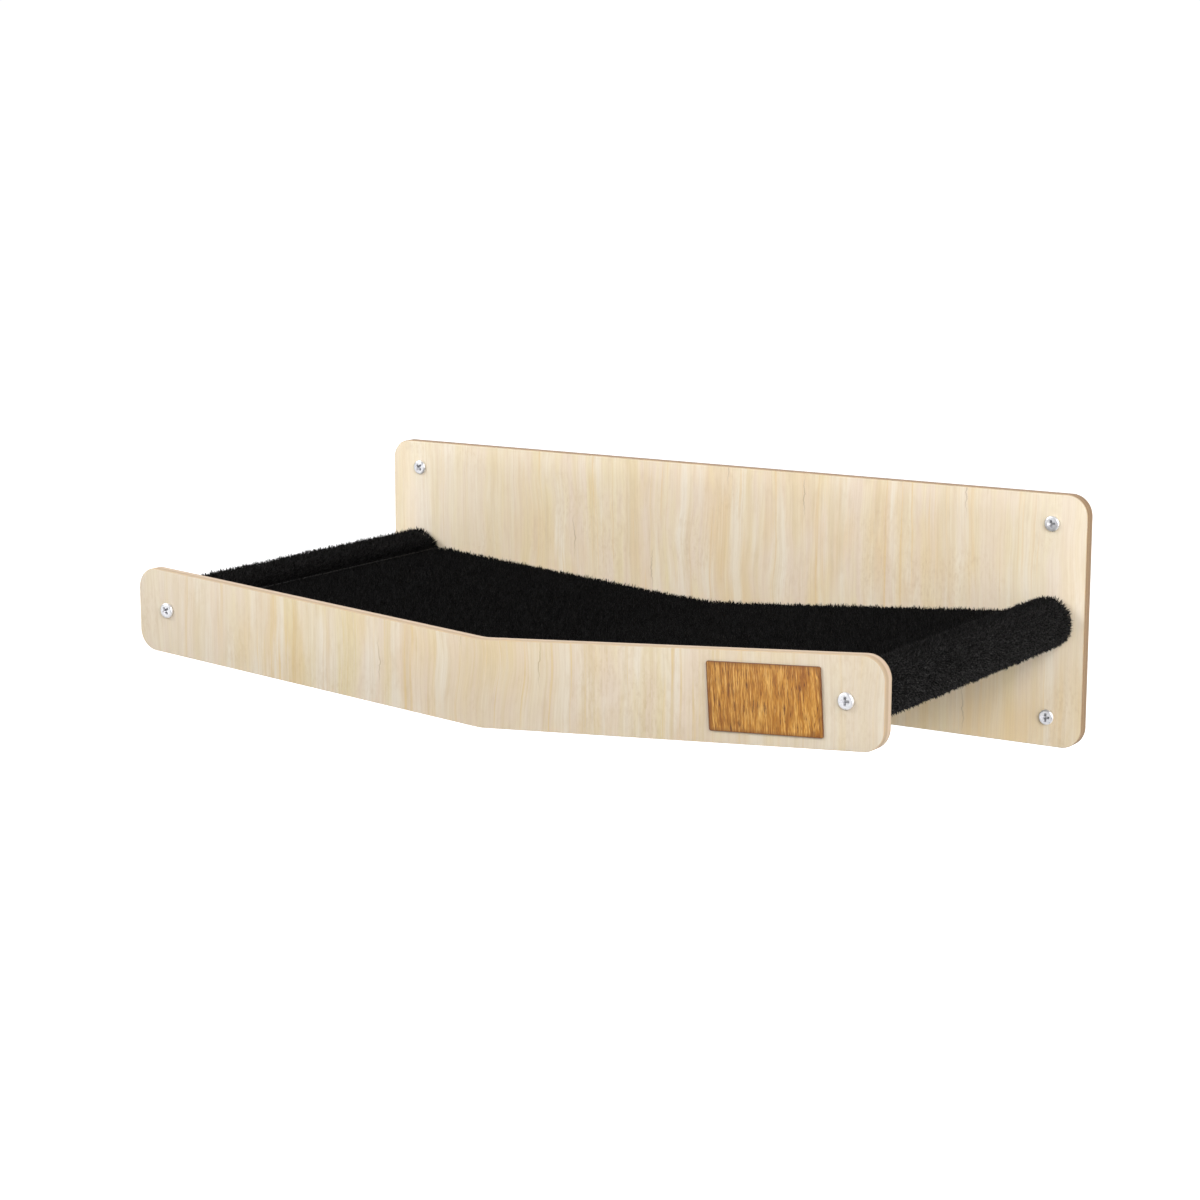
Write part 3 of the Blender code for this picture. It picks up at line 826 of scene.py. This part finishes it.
def seamTree(material):
    # a row of stitches along each edge of the given lines
    tree, given = newTree("Stitched seam", floats(*stitching))
    line = addNode(tree, "GeometryNodeMeshToCurve", {0: given["Geometry"]})
    points = addNode(tree, "GeometryNodeCurveToPoints", {0: line, "Length": given["Spacing"]}, mode="LENGTH")
    tangent = points.outputs["Tangent"]
    along = addNode(tree, "FunctionNodeAlignRotationToVector", {"Vector": tangent}, axis="Y")
    down = times(tree, given["Dip"], -1)
    arch = addNode(tree, "GeometryNodeCurveQuadraticBezier", {
        "Resolution": 6,
        "Start": join(tree, 0, times(tree, given["Stitch"], -.5), down),
        "Middle": join(tree, 0, 0, given["Dip"]),
        "End": join(tree, 0, times(tree, given["Stitch"], .5), down),
    })
    ring = addNode(tree, "GeometryNodeCurvePrimitiveCircle", {"Resolution": 6, "Radius": given["Thread"]})
    stitch = addNode(tree, "GeometryNodeCurveToMesh", {0: arch, 1: ring, "Fill Caps": True})
    endTree(tree, addNode(tree, "GeometryNodeInstanceOnPoints", {
        0: points, "Instance": stitch, "Rotation": along,
    }), material, True)
    return tree


def slingPlaces():
    # the root surface of the pile: where the bed meets the sleeve, and the level of the hem
    low, high = corners("rod_right")
    rodX, rodZ = (low.x + high.x) / 2, (low.z + high.z) / 2
    radius = (high.z - low.z) / 2 + sling["restGap"] + sling["backing"]
    seamZ = rodZ + sling["seamRise"] - sling["pile"]
    seamX = rodX - math.sqrt(radius ** 2 - (seamZ - rodZ) ** 2)
    hemZ = seamZ - 2 * sling["backing"] - sling["restGap"]
    rear = corners("back_panel")[0].y - sling["endClearance"]
    front = corners("front_panel")[1].y + sling["endClearance"]
    return {
        "Rod X": rodX, "Rod Z": rodZ, "Sleeve radius": radius, "Seam X": seamX, "Seam Z": seamZ,
        "Bed drop": sling["bedDrop"], "Bed rounding": sling["bedRounding"], "Hem Z": hemZ,
        "Hem width": sling["hem"], "Rear Y": rear, "Front Y": front, "Step": sling["step"],
        "Across step": sling["acrossStep"], "Unevenness": sling["unevenness"], "Ripples": sling["ripples"],
    }


def makeSling():
    places = slingPlaces()
    seam = places["Seam X"]
    seamAt = seam - sling["seamInset"]
    surface = linkMesh("cloth_surface", bpy.data.meshes.new("cloth_surface"))
    runTree(surface, clothTree(knitMaterial(seamAt), places), places)
    plainMesh(surface)
    cloth = linkMesh("sling_cloth", surface.data.copy())
    wall = cloth.modifiers.new("Backing", "SOLIDIFY")
    wall.thickness = sling["backing"]
    wall.offset = -1
    plainMesh(cloth)
    dress(cloth, "plush", "sling")
    print("cloth:", len(cloth.data.polygons), "faces")

    halfLength = max(value.value for value in surface.data.attributes["along"].data)
    hemStart = halfLength - sling["hem"]
    plush, *_ = plushMaterial("Black plush pile", 1050, seamAt, plushLook["inner"], plushLook["outer"])
    tree = pileTree(plush)
    tuft = tuftObject()
    strips = {   # start and end along the cloth, share of the tufts, share of their height
        "inner": (0, seam / 3, 1, 1),
        "middle": (seam / 3, seam * 2 / 3, 1, 1),
        "outer": (seam * 2 / 3, seam, 1, 1),
        "sleeve": (seam, hemStart, 1, 1),
        "hem": (hemStart, halfLength, .5, .45),
    }
    density = tuftLook["Tufts per square metre"] * 1
    for number, (side, sign) in enumerate((("left", -1), ("right", 1))):
        for k, (strip, (start, end, thick, tall)) in enumerate(strips.items()):
            fluff = sling["sleeveFluff"][side] if strip == "sleeve" else 1
            pile = linkMesh(f"pile_{strip}_{side}", surface.data)
            runTree(pile, tree, {
                **tuftLook, "Tuft": tuft, "Tufts per square metre": density * thick,
                "From": start, "To": end, "Side": sign, "Seam at": seamAt,
                "Rear Y": places["Rear Y"], "Front Y": places["Front Y"],
                "Pile height": sling["pile"] * tall * fluff,
                "Seed": sling["seed"] + 10 * number + k,
            })
            plainMesh(pile)
            dress(pile, "plush")
            print(pile.name, len(pile.data.polygons), "faces")

    heights = (places["Seam Z"] + sling["pile"], places["Hem Z"] - sling["threadBelow"])
    ends = (places["Front Y"] + sling["threadInset"], places["Rear Y"] - sling["threadInset"])
    lines = bpy.data.meshes.new("seam_stitches")
    lines.from_pydata([(sign * seamAt, y, z) for sign in (-1, 1) for z in heights for y in ends],
                      [(k, k + 1) for k in range(0, 8, 2)], [])
    stitches = linkMesh("seam_stitches", lines)
    runTree(stitches, seamTree(threadMaterial()), stitching)
    plainMesh(stitches)
    dress(stitches, "plush")
    for helper in (surface, tuft):
        bpy.data.objects.remove(helper)


# Screws and wall plugs
hardware = {
    "headRadius": .0055, "headHeight": .0020, "headRim": .0005, "domeSteps": 10,
    "headFillet": .0013, "headCrown": .0002, "headChamfer": .0002,
    "sinkRadius": .0046, "sinkRim": .0003, "sinkCone": .0021,
    "shankRadius": .0019, "threadRadius": .0025, "pitch": .0022, "plainNeck": .0040, "tip": .006,
    "neckSlope": .0006, "threadStart": .0005, "seatGap": .0003,
    "crossSpan": .0068, "crossWidth": .0020, "crossDepth": .0019, "crossTaper": .36, "cutterReach": .0003,
    "hair": .0001,   # a slight overlap or allowance
    # the recess colour is painted shade in the cross recess
    "zinc": (paint(226, 227, 232), paint(243, 243, 246)), "recess": paint(186, 186, 190),
    "sides": 40,
    "wallLength": .050, "rodLength": .040,
    "turns": {  # degrees that each cross recess is turned
        "wall_screw_top_left": 45, "wall_screw_top_right": 8, "wall_screw_bottom_left": 70,
        "wall_screw_bottom_right": 0, "front_screw_left": 38, "front_screw_right": 0,
        "rear_screw_left": 20, "rear_screw_right": 65,
    },
}
plugs = {
    "radius": .0040, "bore": .0028, "length": .040, "lip": .0008, "lipRadius": .0043,
    "collar": .010, "barbs": 6, "barbDepth": .0005, "sides": 36,
    "lipSlope": .0003, "barbSlope": .0006,
    "slot": .0010, "cutterWidth": .02,
    "nylon": (paint(150, 152, 154), paint(172, 174, 176)),
}


def zincMaterial():
    material, tree, shader, place = newMaterial("Bright zinc", .32, .7)
    cloudy = noiseAt(tree, place, (700, 700, 700), 3, .55)
    colour = colourRamp(tree, cloudy, list(zip((.3, .7), hardware["zinc"])))
    # painted shade: darker in the cross recess, which an attribute of the body marks
    recess = addNode(tree, "ShaderNodeAttribute", attribute_name="recess").outputs["Fac"]
    colour = mixColour(tree, recess, colour, hardware["recess"])
    coat(tree, shader, colour, cloudy, .00003, (.26, .38))
    return material


def nylonMaterial():
    material, tree, shader, place = newMaterial("Grey nylon", .5)
    cloudy = noiseAt(tree, place, (420, 420, 420), 3, .5)
    colour = colourRamp(tree, cloudy, list(zip((.3, .7), plugs["nylon"])))
    coat(tree, shader, colour, cloudy, .00004, (.42, .58))
    return material


def crossCutter():
    bm = bmesh.new()
    span, width = hardware["crossSpan"] / 2, hardware["crossWidth"] / 2
    loops = []
    for height, size in ((hardware["cutterReach"], 1), (-hardware["crossDepth"], hardware["crossTaper"])):
        loop = []
        for turn in range(4):
            c, s = round(math.cos(turn * math.pi / 2)), round(math.sin(turn * math.pi / 2))
            for x, y in ((span, -width), (span, width), (width, width)):
                loop.append(bm.verts.new(((x * c - y * s) * size, (x * s + y * c) * size, height)))
        bm.faces.new(loop)
        loops.append(loop)
    for i, corner in enumerate(loops[0]):
        j = (i + 1) % len(loops[0])
        bm.faces.new((corner, loops[0][j], loops[1][j], loops[1][i]))
    return linkMesh("cross", meshFrom("cross", bm))


def screwBody(name, top, head, length):
    # head is the profile above the neck, and the cross is cut into its top
    shank, crest, neck = hardware["shankRadius"], hardware["threadRadius"], hardware["plainNeck"]
    profile = head + [(crest, head[-1][1]), (crest, -neck), (shank, -neck - hardware["neckSlope"]),
                      (shank, -length + hardware["tip"]), (0, -length)]
    thing = linkMesh(name, turnedMesh(name, profile, hardware["sides"]))
    cutter = crossCutter()
    cutter.location = (0, 0, top)
    cutOut(thing, cutter)
    plainMesh(thing)
    thing.data.shade_smooth()
    thing.data.set_sharp_from_angle(angle=math.radians(32))
    bpy.data.objects.remove(cutter)
    # marks the cross recess's faces for its painted shade
    recess = thing.data.attributes.new("recess", "FLOAT", "FACE")
    shallow, deep = hardware["headCrown"], hardware["crossDepth"] + hardware["hair"]
    for face, mark in zip(thing.data.polygons, recess.data):
        inCross = face.normal.z > .05 and face.center.xy.length < hardware["crossSpan"] / 2
        mark.value = inCross and shallow < top - face.center.z < deep
    return thing


def panHead():
    head, rim, top = hardware["headRadius"], hardware["headRim"], hardware["headHeight"]
    fillet, crown = hardware["headFillet"], hardware["headCrown"]
    flat, shoulder = head - fillet, top - crown
    profile = [(0, top), (flat * .5, top - crown * .25)]
    for k in range(hardware["domeSteps"], -1, -1):
        turn = math.pi / 2 * k / hardware["domeSteps"]
        profile.append((flat + fillet * math.cos(turn), rim + (shoulder - rim) * math.sin(turn)))
    return profile + [(head, hardware["headChamfer"]), (head - hardware["headChamfer"], 0)]


def copiesTree(name, material, threaded):
    # puts the given body on each point, tipped by "Facing" and turned by the point's own "turn"
    inputs = {"Body": "Object", "Facing": "Float"}
    if threaded:
        inputs.update(floats("Thread from", "Thread to", "Pitch", "Core", "Crest"))
    tree, given = newTree(name, inputs)
    shape = addNode(tree, "GeometryNodeObjectInfo", {"Object": given["Body"]}).outputs["Geometry"]
    if threaded:
        run = minus(tree, given["Thread from"], given["Thread to"])
        spiral = addNode(tree, "GeometryNodeCurveSpiral", {
            "Resolution": 18, "Rotations": calc(tree, "DIVIDE", run, given["Pitch"]),
            "Start Radius": given["Core"], "End Radius": given["Core"], "Height": run,
        })
        ridge = addNode(tree, "GeometryNodeCurvePrimitiveCircle", {
            "Resolution": 4, "Radius": minus(tree, given["Crest"], given["Core"]),
        })
        thread = addNode(tree, "GeometryNodeCurveToMesh", {0: spiral, 1: ridge, "Fill Caps": True})
        down = addNode(tree, "GeometryNodeTransform", {
            0: thread, "Translation": join(tree, 0, 0, given["Thread to"]),
        })
        both = tree.nodes.new("GeometryNodeJoinGeometry")
        tree.links.new(shape, both.inputs[0])
        tree.links.new(down.outputs[0], both.inputs[0])
        shape = both.outputs[0]
    turn = addNode(tree, "GeometryNodeInputNamedAttribute", {"Name": "turn"}, data_type="FLOAT").outputs[0]
    tipped = addNode(tree, "FunctionNodeEulerToRotation", {0: join(tree, given["Facing"], turn, 0)})
    points = addNode(tree, "GeometryNodeMeshToPoints", {0: given["Geometry"]})
    copies = addNode(tree, "GeometryNodeInstanceOnPoints", {0: points, "Instance": shape, "Rotation": tipped})
    endTree(tree, copies, material)
    return tree


def makeScrews():
    tree = copiesTree("Threaded screws", zincMaterial(), True)
    wallSeat = corners("back_panel")[0].y - hardware["seatGap"]
    frontSeat = corners("front_panel")[0].y - hardware["seatGap"]
    rearSeat = corners("rear_screw_left")[1].y
    rim, hair, neck = hardware["sinkRim"], hardware["hair"], hardware["plainNeck"]
    sinkHead = [(0, 0), (hardware["sinkRadius"], 0), (hardware["sinkRadius"], -rim),
                (hardware["threadRadius"] + hair, -rim - hardware["sinkCone"])]
    panTop = hardware["headHeight"]
    for kind, seat, head, top, length, facing in (
        ("wall", wallSeat, panHead(), panTop, hardware["wallLength"], 1),
        ("front", frontSeat, panHead(), panTop, hardware["rodLength"], 1),
        ("rear", rearSeat, sinkHead, 0, hardware["rodLength"], -1),   # faces the wall
    ):
        nodes = [node for node in hardware["turns"] if node.startswith(kind)]
        turns = [-facing * math.radians(hardware["turns"][node]) for node in nodes]
        one = screwBody(kind + "_screw_one", top, head, length)
        screws = linkMesh(kind + "_screws", pointMesh(kind + "_screws", nodes, seat, turns))
        runTree(screws, tree, {
            "Body": one, "Facing": facing * math.radians(90), "Pitch": hardware["pitch"],
            "Thread from": -neck - hardware["threadStart"], "Thread to": -length + hardware["tip"],
            "Core": hardware["shankRadius"] - hair, "Crest": hardware["threadRadius"],
        })
        plainMesh(screws)
        bpy.data.objects.remove(one)
        dress(screws, "screw", *nodes)
    print("screws ready")


def makePlugs():
    nodes = [name for name in frame["nodes"] if name.startswith("wall_plug")]
    bore, radius, lip, length = (plugs[size] for size in ("bore", "radius", "lip", "length"))
    groove = radius - plugs["barbDepth"]
    slotLength = length - plugs["collar"]
    barb = slotLength / (plugs["barbs"] + 1)
    profile = [(bore, 0), (plugs["lipRadius"], 0), (plugs["lipRadius"], -lip),
               (radius, -lip - plugs["lipSlope"]), (radius, -plugs["collar"])]
    for k in range(plugs["barbs"]):
        start = -plugs["collar"] - k * barb
        profile += [(groove, start - plugs["barbSlope"]), (radius, start - barb)]
    profile += [(groove, -length), (bore, -length), (bore, 0)]
    one = linkMesh("plug_one", turnedMesh("plug_one", profile, plugs["sides"]))
    bm = bmesh.new()
    bmesh.ops.create_cube(bm, size=1)
    bmesh.ops.scale(bm, vec=(plugs["slot"], plugs["cutterWidth"], 2 * slotLength), verts=bm.verts)
    bmesh.ops.translate(bm, vec=(0, 0, -length), verts=bm.verts)
    slot = linkMesh("plug_slot", meshFrom("plug_slot", bm))
    cutOut(one, slot)
    plainMesh(one)
    one.data.shade_smooth()
    one.data.set_sharp_from_angle(angle=math.radians(35))
    mouth = corners(nodes[0])[0].y
    copies = linkMesh("wall_plugs", pointMesh("wall_plugs", nodes, mouth, [0] * len(nodes)))
    tree = copiesTree("Wall plugs", nylonMaterial(), False)
    runTree(copies, tree, {"Body": one, "Facing": math.radians(90)})
    plainMesh(copies)
    for helper in (one, slot):
        bpy.data.objects.remove(helper)
    dress(copies, "wall_plug", *nodes)
    print("wall plugs ready")


# Badge plate: a thin veneer with scorched edges, left bare
badge = {
    "width": .0814, "height": .0446, "tilt": 3.69,
    "cornerRadius": .0014, "cornerStep": 15, "arris": .00012, "arrisSteps": 2,
    "straw": paint(214, 168, 92), "honey": paint(194, 141, 60), "ochre": paint(178, 121, 38),
    "amber": paint(140, 84, 22), "russet": paint(98, 50, 12),
    "fleck": paint(92, 48, 18), "scorch": paint(96, 54, 26),
}


def veneerMaterial(centre):
    material, tree, shader, place = newMaterial("Amber veneer", .5)
    # the plate's own frame: its middle at 0, its long side along X
    own = addNode(tree, "ShaderNodeMapping", {
        "Vector": calcVector(tree, "SUBTRACT", place, tuple(centre)),
        "Rotation": (0, math.radians(badge["tilt"]), 0),
    })
    sway = noiseAt(tree, own, (60, 1, 22), 2, .5)
    bent = calcVector(tree, "ADD", own.outputs[0], join(tree, times(tree, sway, .004), 0, 0))
    bands = noiseAt(tree, bent, (230, 1, 26), 4, .65)
    colour = colourRamp(tree, bands, [(.34, badge["amber"]), (.46, badge["ochre"]), (.58, badge["honey"])])
    streaks = noiseAt(tree, bent, (760, 1, 44), 3, .75, (2, 0, 3))
    colour = overlay(tree, colour, badge["amber"], streaks, .38, .52, .95, 0)
    colour = overlay(tree, colour, badge["straw"], streaks, .52, .64, 0, .90)
    fibre = noiseAt(tree, bent, (1900, 1, 150), 2, .6)
    colour = overlay(tree, colour, badge["russet"], fibre, .36, .56, .50, 0)
    pores = noiseAt(tree, bent, (640, 1, 80), 3, .6, (4, 0, 9))
    colour = overlay(tree, colour, badge["fleck"], pores, .57, .65, 0, .90)
    # scorched where it was cut, darker towards the outline
    x, _, z = split(tree, own)

    def toEdge(value, size):
        return minus(tree, size / 2, calc(tree, "ABSOLUTE", value))
    edge = calc(tree, "MINIMUM", toEdge(x, badge["width"]), toEdge(z, badge["height"]))
    colour = overlay(tree, colour, badge["russet"], edge, .0006, .0030, .45, 0)
    colour = overlay(tree, colour, badge["scorch"], edge, .0001, .0008, .85, 0)
    coat(tree, shader, colour, fibre, .00006, (.6, .42))
    return material


def makeBadge():
    low, high = corners("badge_plate")
    centre = (low + high) / 2
    x, z, radius = badge["width"] / 2, badge["height"] / 2, badge["cornerRadius"]
    rounds = [(-x, z, radius), (x, z, radius), (x, -z, radius), (-x, -z, radius)]
    outline = roundedOutline(rounds, badge["cornerStep"])
    rear, front = high.y - centre.y, low.y - centre.y
    plate = flatPlate("badge_veneer", outline, rear, front, badge["arris"], badge["arrisSteps"])
    plainMesh(plate)
    plate.data.transform(Matrix.Translation(centre) @ Matrix.Rotation(math.radians(-badge["tilt"]), 4, "Y"))
    smoothRim(plate)
    plate.data.materials.append(veneerMaterial(centre))
    dress(plate, "badge", "badge_plate")
    print("badge ready")


# Rods stay the frame's own and get turned wood
rods = {
    "rings": (paint(198, 160, 112), paint(222, 190, 144)),
    "pore": paint(168, 124, 78),
}


def dressRods():
    material, tree, shader, place = newMaterial("Turned dowel", .6)
    grain = noiseAt(tree, place, (420, 9, 420), 3, .6)
    rings = noiseAt(tree, place, (90, 2, 90), 2, .5)
    colour = colourRamp(tree, rings, list(zip((.3, .7), rods["rings"])))
    colour = overlay(tree, colour, rods["pore"], grain, .35, .65, .35, 0)
    coat(tree, shader, colour, grain, .00008, (.68, .5))
    for name in ("rod_left", "rod_right"):
        rod = frame["nodes"][name]
        for held in rod.material_slots:
            held.material = material
    print("rods dressed")


makeStudio()
makeBoards()
makeSling()
makeScrews()
makePlugs()
makeBadge()
dressRods()
